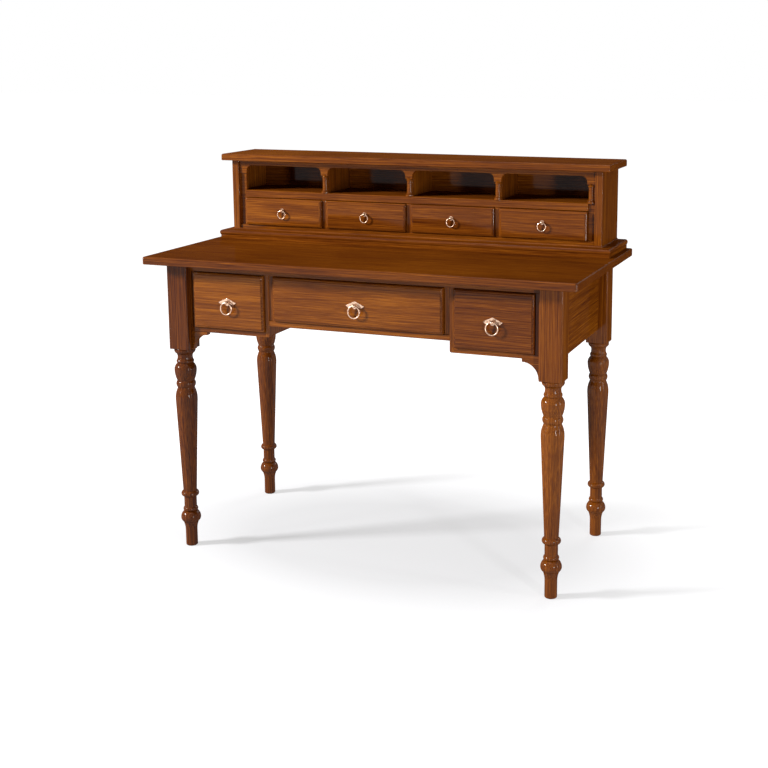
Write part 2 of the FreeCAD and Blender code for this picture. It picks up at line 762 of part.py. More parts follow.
def make_rosette_pull(name, x, y, z):
    """Make the round plate and post of a small pull."""
    body = new_body(name)
    disc = add_circle(sketch_on(body, "XZ_Plane", 0, "disc"), 0, 0, s.rosette_radius)
    pad(body, disc, s.rosette_thickness)
    make_eye(
        body,
        s.small_standoff,
        s.small_post_radius,
        s.small_wire_radius,
        s.small_ring_radius,
        s.rosette_thickness / 2,
    )
    place(body, x, y, z)


def make_ring(name, x, y, z, ring_radius, wire_radius):
    """Make a ring that hangs upright from the pivot at x, y, z."""
    ring = doc.addObject("Part::Torus", name)
    bind(ring, "Radius1", ring_radius)
    bind(ring, "Radius2", wire_radius)
    upright = FreeCAD.Rotation(FreeCAD.Vector(1, 0, 0), 90)
    ring.Placement = FreeCAD.Placement(FreeCAD.Vector(0, 0, 0), upright)
    place(ring, x, y, z - ring_radius)
    return keep(ring)


def make_table_drawer(name, opening_x, opening_z):
    """Make a table drawer with its box, front, plate and ring in a given opening."""
    gap = s.drawer_gap
    x = (opening_x[0] + gap, opening_x[1] - gap)
    z = (opening_z[0] + gap, opening_z[1] - gap)
    face = frame_y - s.drawer_proud
    back = frame_y + s.front_inset
    make_rounded_front("drawer_front_" + name, x, z, face)
    make_drawer_box(
        "drawer_box_" + name,
        x,
        (back, back_apron_inner - s.drawer_back_gap),
        (opening_z[0] + s.runner_gap, opening_z[1] - s.box_top_gap),
        s.box_side,
        s.box_panel,
        s.box_panel_rise,
    )
    middle_x, middle_z = (x[0] + x[1]) / 2, (z[0] + z[1]) / 2
    make_wing_pull("pull_plate_" + name, middle_x, face, middle_z)
    pivot_y = face - s.pull_standoff
    sizes = (s.pull_ring_radius, s.pull_wire_radius)
    make_ring("pull_ring_" + name, middle_x, pivot_y, middle_z, *sizes)


def make_small_drawer(number, opening_x):
    """Make one small drawer of the superstructure in its opening."""
    name = "small_%d" % number
    gap = s.drawer_gap
    x = (opening_x[0] + gap, opening_x[1] - gap)
    z = (floor_top + gap, shelf_bottom - gap)
    face = face_y - s.small_proud
    back = face_y + s.small_front_inset
    make_bevelled_front("drawer_front_" + name, x, z, face)
    make_drawer_box(
        "drawer_box_" + name,
        x,
        (back, panel_front - s.small_back_gap),
        (floor_top + s.runner_gap, shelf_bottom - s.small_box_top_gap),
        s.small_box_side,
        s.small_box_panel,
        s.small_box_panel,
    )
    middle_x, pivot_z = (x[0] + x[1]) / 2, (z[0] + z[1]) / 2 + s.small_pull_rise
    make_rosette_pull("pull_plate_" + name, middle_x, face, pivot_z)
    pivot_y = face - s.small_standoff
    sizes = (s.small_ring_radius, s.small_wire_radius)
    make_ring("pull_ring_" + name, middle_x, pivot_y, pivot_z, *sizes)


def make_drawers():
    """Make all the drawers in their openings."""
    for side_name, side in SIDES:
        across = mirrored(side, partition_outer, cheek_inner)
        make_table_drawer(side_name, across, (side_floor, rail_bottom))
    across = (-middle_half_opening, middle_half_opening)
    make_table_drawer("middle", across, (middle_floor, rail_bottom))
    half_partition = s.small_partition / 2
    for bay in range(4):
        low = (bay - 2) * bay_pitch + half_partition
        high = (bay - 1) * bay_pitch - half_partition
        make_small_drawer(bay + 1, (low, high))


# ---- superstructure ----------------------------------------------------------------------


def make_carcase_side(name, side):
    """Make an upright side board with eased front edges."""
    body = new_body(name)
    outline = rectangle(mirrored(side, carcase_inner, carcase_half), (carcase_front, carcase_back))
    pad_up(body, "outline", outline, (s.table_height, carcase_top))
    round_edges(
        body,
        lambda e: lies_at(e, "y", carcase_front) and is_upright(e),
        s.carcase_side_round,
        "eased",
    )


def make_cornice():
    """Make the top board of the superstructure with rounded arrises."""
    body = new_body("cornice")
    half = carcase_half + s.cornice_side_overhang
    front = carcase_front - s.cornice_front_overhang
    height = (carcase_top, carcase_top + s.cornice_thickness)
    pad_up(body, "outline", rectangle((-half, half), (front, carcase_back)), height)
    lower, upper = height
    round_edges(body, lambda e: lies_at(e, "z", upper), s.cornice_edge_round, "upper_arris")
    round_edges(body, lambda e: lies_at(e, "z", lower), s.cornice_edge_round / 2, "lower_arris")


def make_plinth():
    """Make the base moulding: one profile swept round three sides with mitred corners."""
    body = new_body("base_moulding")
    path = sketch_on(body, "XY_Plane", s.table_height, "path")
    turns = [
        (carcase_half, carcase_back),
        (carcase_half, carcase_front),
        (-carcase_half, carcase_front),
        (-carcase_half, carcase_back),
    ]
    for start, end in zip(turns, turns[1:]):
        points = [FreeCAD.Vector(u.value, v.value, 0) for u, v in (start, end)]
        path.addGeometry(Part.LineSegment(*points), False)
    for index in range(2):
        path.addConstraint(Sketcher.Constraint("Coincident", index, 2, index + 1, 1))
    for index, (u, v) in enumerate(turns[:3]):
        pin_point(path, index, 1, u, v)
    pin_point(path, 2, 2, *turns[3])
    base = s.table_height
    nose = (s.plinth_shoulder - s.plinth_foot) / 2
    outline = Turning(carcase_half, base)
    outer = carcase_half + s.plinth_projection
    outline.line(outer - s.plinth_inset, base)
    outline.line(outer - s.plinth_inset, base + s.plinth_foot)
    shoulder = base + s.plinth_shoulder
    outline.swell((outer, shoulder - nose), (outer - nose, shoulder))
    outline.line(carcase_half + s.plinth_cove, shoulder)
    outline.round(carcase_half, shoulder + s.plinth_cove, -s.plinth_cove)
    profile = trace(sketch_on(body, "XZ_Plane", -carcase_back, "profile"), outline.corners)
    pipe = body.newObject("PartDesign::AdditivePipe", "base_moulding_sweep")
    pipe.Profile = profile
    pipe.Spine = (path, ["Edge1", "Edge2", "Edge3"])
    pipe.Transition = "Right corner"


def make_shelf():
    """Make the shelf, notched at its front corners round the end stiles."""
    body = new_body("shelf")
    corners = [
        (-stile_inner, face_y),
        (stile_inner, face_y),
        (stile_inner, arcade_back),
        (carcase_inner, arcade_back),
        (carcase_inner, panel_front),
        (-carcase_inner, panel_front),
        (-carcase_inner, arcade_back),
        (-stile_inner, arcade_back),
    ]
    pad_up(body, "outline", corners, (shelf_bottom, shelf_top))
    round_edges(
        body,
        lambda e: lies_at(e, "y", face_y) and not is_upright(e),
        s.shelf_round,
        "nosing",
    )


def arcade_outline():
    """Give the arcade head as seen from the front: a frieze over four rounded openings."""
    corners = [(carcase_inner, carcase_top), (-carcase_inner, carcase_top)]
    foot = carcase_top - s.spandrel_height
    crown = carcase_top - s.frieze_height
    radius, half = s.arch_radius, s.capital_half_width
    corners.append((-carcase_inner, foot))
    for bay in range(4):
        left = (bay - 2) * bay_pitch + half
        right = (bay - 1) * bay_pitch - half
        corners += [
            (left, foot),
            (left, crown - radius, -radius),
            (left + radius, crown),
            (right - radius, crown, -radius),
            (right, crown - radius),
            (right, foot),
        ]
    corners.append((carcase_inner, foot))
    return corners


def column_profile():
    """Give the turned outline of a little column from the shelf into the arcade head."""
    base_top = shelf_top + s.base_height
    shaft_foot = base_top + s.torus_height
    bell_foot = carcase_top - s.spandrel_height - s.bell_height / 2
    astragal = bell_foot - s.astragal_height
    turning = Turning(s.base_radius, shelf_top)
    turning.line(s.base_radius, base_top)
    turning.bead(s.torus_radius, base_top, shaft_foot)
    turning.line(s.shaft_radius, shaft_foot)
    turning.line(s.shaft_top_radius, astragal)
    turning.bead(s.astragal_radius, astragal, bell_foot)
    turning.line(s.shaft_top_radius, bell_foot)
    turning.line(s.capital_radius, bell_foot + s.bell_height)
    return turning


def make_arcade():
    """Make the front of the pigeonholes: arcade head, five turned columns and end stiles."""
    body = new_body("arcade")
    pad_forward(body, "head", arcade_outline(), (arcade_front, arcade_back))
    first = -2 * bay_pitch
    turning = sketch_on(body, "XZ_Plane", -(arcade_front + s.shaft_radius), "column")
    trace(turning, column_profile().about(first))
    ends = [FreeCAD.Vector(first.value, height.value, 0) for height in (shelf_top, carcase_top)]
    axis = turning.addGeometry(Part.LineSegment(*ends), True)
    pin_point(turning, axis, 1, first, shelf_top)
    pin_point(turning, axis, 2, first, carcase_top)
    row = body.newObject("PartDesign::LinearPattern", "arcade_columns")
    row.Originals = [revolve(body, turning, "Axis0")]
    row.Direction = (origin_plane(body, "X_Axis"), [""])
    row.Occurrences = 5
    bind(row, "Length", 4 * bay_pitch)
    body.Tip = row
    trim = sketch_on(body, "XZ_Plane", -arcade_back, "flat_back")
    reach = 2 * bay_pitch + s.base_radius + PAST
    trace(trim, rectangle((-reach, reach), (shelf_top - PAST, carcase_top)))
    pocket(body, trim, s.base_radius)
    stile_front = face_y + s.stile_setback
    for side_name, side in SIDES:
        outline = rectangle(mirrored(side, stile_inner, carcase_inner), (floor_top, carcase_top))
        pad_forward(body, "stile_" + side_name, outline, (stile_front, arcade_back))


def make_superstructure():
    """Make the superstructure without its drawers."""
    for side_name, side in SIDES:
        make_carcase_side("carcase_side_" + side_name, side)
    make_cornice()
    make_plinth()
    inside = (-carcase_inner, carcase_inner)
    board("carcase_back", inside, (panel_front, carcase_back), (s.table_height, carcase_top))
    floor_bottom = floor_top - s.floor_board
    board("carcase_floor", inside, (face_y, panel_front), (floor_bottom, floor_top))
    make_shelf()
    make_arcade()
    half_partition, half_divider = s.small_partition / 2, s.divider / 2
    for number in range(1, 4):
        middle = (number - 2) * bay_pitch
        across = (middle - half_partition, middle + half_partition)
        height = (floor_top, shelf_bottom)
        board("drawer_partition_%d" % number, across, (face_y, panel_front), height)
        across = (middle - half_divider, middle + half_divider)
        height = (shelf_top, carcase_top)
        board("pigeonhole_divider_%d" % number, across, (arcade_back, panel_front), height)


def check_and_write():
    """Stop on any failed object, then write each piece to its own STEP file."""
    doc.recompute()
    for item in doc.Objects:
        if {"Invalid", "Error"} & set(item.State):
            raise RuntimeError("%s has state %s" % (item.Name, item.State))
    os.makedirs("parts", exist_ok=True)
    for piece in pieces:
        shape = piece.Shape
        if shape.isNull() or not shape.isValid() or len(shape.Solids) != 1:
            raise RuntimeError(piece.Label + " is not one valid solid")
        shape.exportStep("parts/%s.step" % piece.Label)
    print("wrote", len(pieces), "pieces")


make_table()
make_drawers()
make_superstructure()
check_and_write()
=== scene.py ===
"""Bonheur du jour in lacquered walnut with silvered ring pulls, dressed on its CAD frame."""

import logging
import math
import random
from dataclasses import dataclass
from enum import Enum
from typing import Iterable, Optional, Sequence

import bmesh
import bpy
from mathutils import Matrix, Vector


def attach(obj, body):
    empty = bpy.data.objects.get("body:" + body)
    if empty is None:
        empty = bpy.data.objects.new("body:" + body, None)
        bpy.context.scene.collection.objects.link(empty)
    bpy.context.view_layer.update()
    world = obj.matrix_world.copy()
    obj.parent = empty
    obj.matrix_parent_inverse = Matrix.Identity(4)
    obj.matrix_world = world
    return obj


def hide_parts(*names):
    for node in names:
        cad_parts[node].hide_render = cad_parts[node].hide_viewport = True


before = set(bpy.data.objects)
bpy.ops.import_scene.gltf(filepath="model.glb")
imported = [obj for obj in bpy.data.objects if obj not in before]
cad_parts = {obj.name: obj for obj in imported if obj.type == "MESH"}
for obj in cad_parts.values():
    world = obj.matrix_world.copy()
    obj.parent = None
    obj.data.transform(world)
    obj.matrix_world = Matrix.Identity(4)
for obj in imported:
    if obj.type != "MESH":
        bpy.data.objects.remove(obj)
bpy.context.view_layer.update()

log = logging.getLogger("bonheur_du_jour")

Tree = bpy.types.NodeTree
Socket = bpy.types.NodeSocket
Material = bpy.types.Material
Mesh = bpy.types.Mesh
Shape = bmesh.types.BMesh
Colour = tuple[float, float, float, float]

MM = 0.001
# Edges that turn further than SHARP are hard, and faces that turn less than FLAT are one face.
SHARP = math.radians(35)
FLAT = math.radians(0.4)
# Points nearer to each other than this are one point.
WELD_M = 2e-6
WHITE: Colour = (1.0, 1.0, 1.0, 1.0)
# A Mix node's two colour inputs and its colour output.
MIX_A, MIX_B, MIXED = 6, 7, 2
GRAIN_ATTRIBUTE = "grain_mm"
# Each board's tone, which for some boards is painted shade.
TONE_AND_SHADE_ATTRIBUTE = "board_tone_and_painted_shade"
SIDES = ("left", "right")


# ---- colours and nodes -------------------------------------------------------------------


def linear(code: str) -> Colour:
    """Turn an sRGB hex colour into a linear one.

    Args:
        code: Six hex digits, such as "7A4218".

    Returns:
        Linear red, green and blue, and an alpha of 1.
    """
    channels = [int(code[i : i + 2], 16) / 255 for i in (0, 2, 4)]
    red, green, blue = (
        c / 12.92 if c <= 0.04045 else ((c + 0.055) / 1.055) ** 2.4 for c in channels
    )
    return (red, green, blue, 1.0)


def add_node(
    tree: Tree,
    kind: str,
    inputs: Optional[dict] = None,
    stops: Sequence[tuple[float, str]] = (),
    **settings: object,
) -> bpy.types.Node:
    """Add a node, with its settings, values and links.

    Args:
        tree: Tree that gets the node.
        kind: Type name of the node.
        inputs: Socket names or numbers, each with a value or with the output socket to link.
        stops: Positions and sRGB hex colours of a colour ramp, in rising order.
        settings: Properties of the node.

    Returns:
        The new node.
    """
    node = tree.nodes.new(kind)
    for name, value in settings.items():
        setattr(node, name, value)
    for index, (position, code) in enumerate(stops):
        elements = node.color_ramp.elements
        element = elements[index] if index < len(elements) else elements.new(position)
        element.position, element.color = position, linear(code)
    for key, value in (inputs or {}).items():
        socket = node.inputs[key]
        if isinstance(value, bpy.types.NodeSocket):
            tree.links.new(value, socket)
        else:
            socket.default_value = value
    return node


def new_material(name: str) -> tuple[Material, Tree]:
    """Make an empty node material.

    Args:
        name: What the material is and how its surface was made.

    Returns:
        The material and its cleared tree.
    """
    material = bpy.data.materials.new(name)
    material.use_nodes = True
    material.node_tree.nodes.clear()
    return material, material.node_tree


def background_rays(tree: Tree) -> Socket:
    """Pick out the rays that show the background: the camera's, glossy and transmitted ones.

    Args:
        tree: Tree of the floor or of the world.

    Returns:
        A socket that is 1 for those rays and 0 for the light that falls on the desk.
    """
    path = add_node(tree, "ShaderNodeLightPath")
    seen = path.outputs["Is Camera Ray"]
    for ray in ("Is Glossy Ray", "Is Transmission Ray"):
        seen = add_node(
            tree, "ShaderNodeMath", {0: seen, 1: path.outputs[ray]}, operation="MAXIMUM"
        ).outputs["Value"]
    return seen


# ---- finishes ----------------------------------------------------------------------------


@dataclass(frozen=True)
class VarnishedWood:
    """Sawn and varnished wood, with rings, long streaks and pores along each board's own grain."""

    name: str
    dark: str
    ground: str
    light: str
    coat_weight: float
    coat_roughness: float
    coat_ior: float = 1.5
    wood_roughness: float = 0.5
    # Shades of the figure at which the colour is the dark one, the ground and the light one.
    stops: tuple[float, float, float] = (0.34, 0.50, 0.66)
    ring_mm: float = 4.0
    ring_detail: float = 3.0
    ring_contrast: float = 0.65
    ring_share: float = 0.24
    streak_mm: float = 1.3
    streak_length_mm: float = 150.0
    streak_detail: float = 4.0
    streak_contrast: float = 0.6
    streak_share: float = 0.58
    mottle_mm: float = 190.0
    mottle_length_mm: float = 380.0
    mottle_share: float = 0.18
    # The grain wanders from side to side within wander_mm, once in each width and length.
    wander_mm: float = 9.0
    wander_width_mm: float = 90.0
    wander_length_mm: float = 420.0
    # Real pores are 0.2 mm wide, which is too fine to show, so they are drawn five times as wide.
    pore_mm: float = 1.0
    pore_length_mm: float = 48.0
    pore_stops: tuple[float, float] = (0.34, 0.5)
    pore_shade: Colour = (0.66, 0.6, 0.56, 1.0)
    pore_bump: float = 0.12
    pore_depth_m: float = 0.0002
    # The gloss fades between these values of Layer Weight's Facing, down to this share.
    fade_stops: tuple[float, float] = (0.4, 0.75)
    fade_share: float = 0.03

    def pattern(
        self,
        tree: Tree,
        at: Socket,
        length_mm: float,
        width_mm: float,
        detail: float = 2.0,
        contrast: float = 0.5,
    ) -> bpy.types.Node:
        """Lay a long, irregular pattern along the grain.

        Args:
            tree: Tree of the material.
            at: Coordinates in millimetres, the first one along the grain.
            length_mm: Length of one mark.
            width_mm: Width of one mark.
            detail: How many finer patterns it carries.
            contrast: How strong the finer ones are.

        Returns:
            The noise node.
        """
        scale = (1 / length_mm, 1 / width_mm, 1 / width_mm)
        scaled = add_node(tree, "ShaderNodeVectorMath", {0: at, 1: scale}, operation="MULTIPLY")
        inputs = {
            "Vector": scaled.outputs["Vector"],
            "Scale": 1.0,
            "Detail": detail,
            "Roughness": contrast,
        }
        return add_node(tree, "ShaderNodeTexNoise", inputs)

    def bent(self, tree: Tree, at: Socket) -> Socket:
        """Let the grain wander from side to side, as it does in sawn boards.

        Args:
            tree: Tree of the material.
            at: Straight coordinates.

        Returns:
            The bent coordinates.
        """
        wander = self.pattern(tree, at, self.wander_length_mm, self.wander_width_mm)
        reach = (0.0, self.wander_mm, self.wander_mm)
        bent = add_node(
            tree,
            "ShaderNodeVectorMath",
            {0: wander.outputs["Color"], 1: reach, 2: at},
            operation="MULTIPLY_ADD",
        )
        return bent.outputs["Vector"]

    def rings(self, tree: Tree, bent: Socket) -> Socket:
        """Lay year rings round the heart of the tree.

        Args:
            tree: Tree of the material.
            bent: Coordinates of the wandering grain.

        Returns:
            The shade of the rings.
        """
        flat = add_node(
            tree, "ShaderNodeVectorMath", {0: bent, 1: (0.0, 1.0, 1.0)}, operation="MULTIPLY"
        )
        radius = add_node(
            tree, "ShaderNodeVectorMath", {0: flat.outputs["Vector"]}, operation="LENGTH"
        )
        ring_at = add_node(
            tree,
            "ShaderNodeMath",
            {0: radius.outputs["Value"], 1: 1 / self.ring_mm},
            operation="MULTIPLY",
        )
        inputs = {
            "W": ring_at.outputs["Value"],
            "Scale": 1.0,
            "Detail": self.ring_detail,
            "Roughness": self.ring_contrast,
        }
        rings = add_node(tree, "ShaderNodeTexNoise", inputs, noise_dimensions="1D")
        return rings.outputs["Fac"]

    def figure(self, tree: Tree, at: Socket, tone: Socket) -> Socket:
        """Add rings, streaks and mottle up to the board's figure.

        Args:
            tree: Tree of the material.
            at: Coordinates in millimetres, the first one along the grain.
            tone: How much lighter the board is than the average one.

        Returns:
            The shade of the wood, about 0.5 on average.
        """
        bent = self.bent(tree, at)
        streaks = self.pattern(
            tree,
            bent,
            self.streak_length_mm,
            self.streak_mm,
            self.streak_detail,
            self.streak_contrast,
        )
        mottle = self.pattern(tree, at, self.mottle_length_mm, self.mottle_mm)
        shares = (
            (self.rings(tree, bent), self.ring_share),
            (streaks.outputs["Fac"], self.streak_share),
            (mottle.outputs["Fac"], self.mottle_share),
            (tone, 1.0),
        )
        total: Socket | float = 0.0
        for socket, share in shares:
            total = add_node(
                tree, "ShaderNodeMath", {0: socket, 1: share, 2: total}, operation="MULTIPLY_ADD"
            ).outputs["Value"]
        return total

    def pores(self, tree: Tree, at: Socket) -> Socket:
        """Scatter long pores along the grain.

        Args:
            tree: Tree of the material.
            at: Coordinates in millimetres, the first one along the grain.

        Returns:
            0 in a pore and 1 beside it.
        """
        marks = self.pattern(tree, at, self.pore_length_mm, self.pore_mm)
        deepest, shallowest = self.pore_stops
        beside = add_node(
            tree,
            "ShaderNodeMapRange",
            {"Value": marks.outputs["Fac"], "From Min": deepest, "From Max": shallowest},
        )
        return beside.outputs["Result"]

    def stained(self, tree: Tree, figure: Socket, pores: Socket) -> Socket:
        """Colour the figure, with the stain darker in the pores.

        Args:
            tree: Tree of the material.
            figure: Shade of the wood.
            pores: 0 in a pore and 1 beside it.

        Returns:
            The colour.
        """
        wood = add_node(
            tree,
            "ShaderNodeValToRGB",
            {"Fac": figure},
            stops=list(zip(self.stops, (self.dark, self.ground, self.light))),
        )
        shade = add_node(
            tree,
            "ShaderNodeMix",
            {"Factor": pores, MIX_A: self.pore_shade, MIX_B: WHITE},
            data_type="RGBA",
        )
        stained = add_node(
            tree,
            "ShaderNodeMix",
            {"Factor": 1.0, MIX_A: wood.outputs["Color"], MIX_B: shade.outputs[MIXED]},
            data_type="RGBA",
            blend_type="MULTIPLY",
        )
        return stained.outputs[MIXED]

    def gloss(self, tree: Tree) -> Socket:
        """Let the gloss fade at glancing angles, where a pale room would veil the wood.

        Args:
            tree: Tree of the material.

        Returns:
            The weight of the coat.
        """
        layer = add_node(tree, "ShaderNodeLayerWeight", {"Blend": 0.5})
        fade_from, fade_to = self.fade_stops
        coat = add_node(
            tree,
            "ShaderNodeMapRange",
            {
                "Value": layer.outputs["Facing"],
                "From Min": fade_from,
                "From Max": fade_to,
                "To Min": self.coat_weight,
                "To Max": self.coat_weight * self.fade_share,
            },
        )
        return coat.outputs["Result"]

    def build(self) -> Material:
        """Make the material.

        Returns:
            The wood, which reads each board's own grain and tone attributes.
        """
        material, tree = new_material(self.name)
        grain = add_node(tree, "ShaderNodeAttribute", attribute_name=GRAIN_ATTRIBUTE)
        tone = add_node(tree, "ShaderNodeAttribute", attribute_name=TONE_AND_SHADE_ATTRIBUTE)
        at = grain.outputs["Vector"]
        pores = self.pores(tree, at)
        relief = add_node(
            tree,
            "ShaderNodeBump",
            {"Height": pores, "Strength": self.pore_bump, "Distance": self.pore_depth_m},
        )
        figure = self.figure(tree, at, tone.outputs["Fac"])
        surface = add_node(
            tree,
            "ShaderNodeBsdfPrincipled",
            {
                "Base Color": self.stained(tree, figure, pores),
                "Roughness": self.wood_roughness,
                # All the reflection comes from the coat.
                "Specular IOR Level": 0.0,
                "Coat Weight": self.gloss(tree),
                "Coat Roughness": self.coat_roughness,
                "Coat IOR": self.coat_ior,
                "Normal": relief.outputs["Normal"],
            },
        )
        add_node(tree, "ShaderNodeOutputMaterial", {"Surface": surface.outputs["BSDF"]})
        return material


@dataclass(frozen=True)
class LacqueredWalnut(VarnishedWood):
    """Walnut, stained a warm red brown and sprayed with gloss lacquer.

    The stain gives a deep ground with darker long streaks, and the lacquer fills the pores, so
    that the eye sees a clear, even reflection over the figure.
    """

    name: str = "walnut_stained_and_gloss_lacquered"
    dark: str = "411808"
    ground: str = "783E0C"
    light: str = "A66118"
    coat_weight: float = 0.28
    coat_roughness: float = 0.09


@dataclass(frozen=True)
class PlanedPoplar(VarnishedWood):
    """Poplar for the drawer boxes, planed and given a thin satin varnish.

    It is pale, and its soft sheen mirrors nothing clearly.
    """

    name: str = "poplar_planed_and_satin_varnished"
    dark: str = "8A6238"
    ground: str = "B58A58"
    light: str = "CBA472"
    coat_weight: float = 0.3
    coat_roughness: float = 0.35


@dataclass(frozen=True)
class SilveredBrass:
    """Cast brass, silver plated and lightly tarnished.

    Polishing leaves bright patches, and a warm, duller film stays between them.
    """

    name: str = "brass_cast_and_silver_plated"
    bright: str = "DDBBA2"
    tarnish: str = "7C5B42"
    colour_stops: tuple[float, float] = (0.30, 0.52)
    patch_mm: float = 5.0
    patch_detail: float = 3.0
    roughness_stops: tuple[float, float] = (0.3, 0.7)
    tarnish_roughness: float = 0.36
    bright_roughness: float = 0.2

    def build(self) -> Material:
        """Make the material.

        Returns:
            The plated metal.
        """
        material, tree = new_material(self.name)
        at = add_node(tree, "ShaderNodeTexCoord").outputs["Object"]
        patches = add_node(
            tree,
            "ShaderNodeTexNoise",
            {"Vector": at, "Scale": 1 / (self.patch_mm * MM), "Detail": self.patch_detail},
        ).outputs["Fac"]
        colour = add_node(
            tree,
            "ShaderNodeValToRGB",
            {"Fac": patches},
            stops=list(zip(self.colour_stops, (self.tarnish, self.bright))),
        )
        roughness = add_node(
            tree,
            "ShaderNodeMapRange",
            {
                "Value": patches,
                "From Min": self.roughness_stops[0],
                "From Max": self.roughness_stops[1],
                "To Min": self.tarnish_roughness,
                "To Max": self.bright_roughness,
            },
        )
        surface = add_node(
            tree,
            "ShaderNodeBsdfPrincipled",
            {
                "Base Color": colour.outputs["Color"],
                "Metallic": 1.0,
                "Roughness": roughness.outputs["Result"],
            },
        )
        add_node(tree, "ShaderNodeOutputMaterial", {"Surface": surface.outputs["BSDF"]})
        return material


@dataclass(frozen=True)
class StudioPaper:
    """Matt white background paper, with the desk's soft shadow and a painted shade under it."""

    name: str = "paper_matt_studio_white"
    colour: str = "9C9C9E"
    # To the camera the paper also glows, less inside an oval round the desk, so that it looks
    # white beyond it; the dimmer oval is painted shade under the desk, and keeps the lamps'
    # shadow inside it.
    painted_shade_glow_under_desk: float = 0.5
    glow_far: float = 1.0
    oval: tuple[float, float, float] = (1.0, 1.5, 1.0)
    fade_from_m: float = 0.4
    fade_to_m: float = 1.25

    def build(self) -> Material:
        """Make the material.

        Returns:
            The white floor, brighter to the camera than to the desk.
        """
        material, tree = new_material(self.name)
        matt = add_node(tree, "ShaderNodeBsdfDiffuse", {"Color": linear(self.colour)})
        at = add_node(tree, "ShaderNodeTexCoord").outputs["Object"]
        oval = add_node(
            tree, "ShaderNodeVectorMath", {0: at, 1: self.oval}, operation="MULTIPLY"
        )
        away = add_node(
            tree, "ShaderNodeVectorMath", {0: oval.outputs["Vector"]}, operation="LENGTH"
        )
        # The weaker glow inside the oval paints shade under the desk.
        glow_with_painted_shade = add_node(
            tree,
            "ShaderNodeMapRange",
            {
                "Value": away.outputs["Value"],
                "From Min": self.fade_from_m,
                "From Max": self.fade_to_m,
                "To Min": self.painted_shade_glow_under_desk,
                "To Max": self.glow_far,
            },
        )
        shown = add_node(
            tree,
            "ShaderNodeMath",
            {0: background_rays(tree), 1: glow_with_painted_shade.outputs["Result"]},
            operation="MULTIPLY",
        )
        glow = add_node(
            tree, "ShaderNodeEmission", {"Color": WHITE, "Strength": shown.outputs["Value"]}
        )
        both = add_node(
            tree, "ShaderNodeAddShader", {0: matt.outputs["BSDF"], 1: glow.outputs["Emission"]}
        )
        add_node(tree, "ShaderNodeOutputMaterial", {"Surface": both.outputs["Shader"]})
        return material


class Finishes:
    """The desk's finishes, each built once."""

    def __init__(self) -> None:
        """Build the materials."""
        self.walnut = LacqueredWalnut().build()
        self.poplar = PlanedPoplar().build()
        self.silver = SilveredBrass().build()


# ---- meshes ------------------------------------------------------------------------------


def span(points: Iterable[Vector]) -> tuple[Vector, Vector]:
    """Find the lowest and the highest corner of some points."""
    columns = list(zip(*points))
    return Vector(map(min, columns)), Vector(map(max, columns))


def solid_points(node: str) -> list[Vector]:
    """List the points of a CAD node's solid."""
    return [vertex.co.copy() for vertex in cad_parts[node].data.vertices]


def show(name: str, mesh: Mesh) -> bpy.types.Object:
    """Put a mesh into the scene.

    Args:
        name: Name of the piece.
        mesh: Its mesh, in place.

    Returns:
        The new object.
    """
    thing = bpy.data.objects.new(name, mesh)
    bpy.context.scene.collection.objects.link(thing)
    return thing


def baked(thing: bpy.types.Object) -> Mesh:
    """Turn an object's modifiers into plain mesh data, and take them off.

    Args:
        thing: Object with its modifiers.

    Returns:
        The mesh that the object then uses.
    """
    graph = bpy.context.evaluated_depsgraph_get()
    mesh = bpy.data.meshes.new_from_object(thing.evaluated_get(graph), depsgraph=graph)
    thing.modifiers.clear()
    thing.data = mesh
    return mesh


def smooth(thing: bpy.types.Object) -> Mesh:
    """Shade a piece so that flats stay flat and rounded edges catch a clean highlight.

    Args:
        thing: Piece with its final shape.

    Returns:
        Its shaded mesh.
    """
    mesh = thing.data
    mesh.polygons.foreach_set("use_smooth", [True] * len(mesh.polygons))
    mesh.set_sharp_from_angle(angle=SHARP)
    weigh = thing.modifiers.new("flats", "WEIGHTED_NORMAL")
    weigh.keep_sharp = True
    return baked(thing)


def rounded(
    shape: Shape, edges: Sequence[bmesh.types.BMEdge], width_mm: float, steps: int
) -> None:
    """Round some edges of a shape.

    Args:
        shape: Shape that is changed.
        edges: Edges to round.
        width_mm: Width of the round.
        steps: Number of facets across it.
    """
    bmesh.ops.bevel(
        shape,
        geom=edges,
        offset=width_mm * MM,
        segments=steps,
        profile=0.5,
        affect="EDGES",
        clamp_overlap=True,
    )


def ease(shape: Shape, edge_mm: float) -> None:
    """Round the hard edges of a shape a little, as sandpaper does.

    Args:
        shape: Shape that is changed.
        edge_mm: Width of the easing.
    """
    hard = [e for e in shape.edges if e.is_manifold and e.calc_face_angle() > SHARP]
    rounded(shape, hard, edge_mm, steps=2)


def solid_of(node: str, edge_mm: float) -> Shape:
    """Copy a node's solid as clean faces.

    Args:
        node: Name of the CAD node.
        edge_mm: Width of the easing on its hard edges.

    Returns:
        The welded copy with its hard edges eased.
    """
    copy = bmesh.new()
    copy.from_mesh(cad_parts[node].data)
    bmesh.ops.remove_doubles(copy, verts=copy.verts, dist=WELD_M)
    bmesh.ops.dissolve_limit(copy, angle_limit=FLAT, verts=copy.verts, edges=copy.edges)
    ease(copy, edge_mm)
    return copy


def fitted(
    node: str, shape: Shape, material: Material, body: str
) -> bpy.types.Object:
    """Finish a piece, put it in its node's place and hang it on its body.

    Args:
        node: CAD node that it replaces.
        shape: Its final shape, which is freed.
        material: Its finish.
        body: Body that carries it.

    Returns:
        The finished piece.
    """
    mesh = bpy.data.meshes.new(node + "_piece")
    shape.to_mesh(mesh)
    shape.free()
    piece = show(node + "_piece", mesh)
    mesh = smooth(piece)
    mesh.materials.clear()
    mesh.materials.append(material)
    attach(piece, body)
    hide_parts(node)
    log.info("%s: %d faces", piece.name, len(mesh.polygons))
    return piece


# ---- wood --------------------------------------------------------------------------------


class Grain(Enum):
    """Axis along which a board's grain runs."""

    ALONG_X = 0
    ALONG_Y = 1
    ALONG_Z = 2


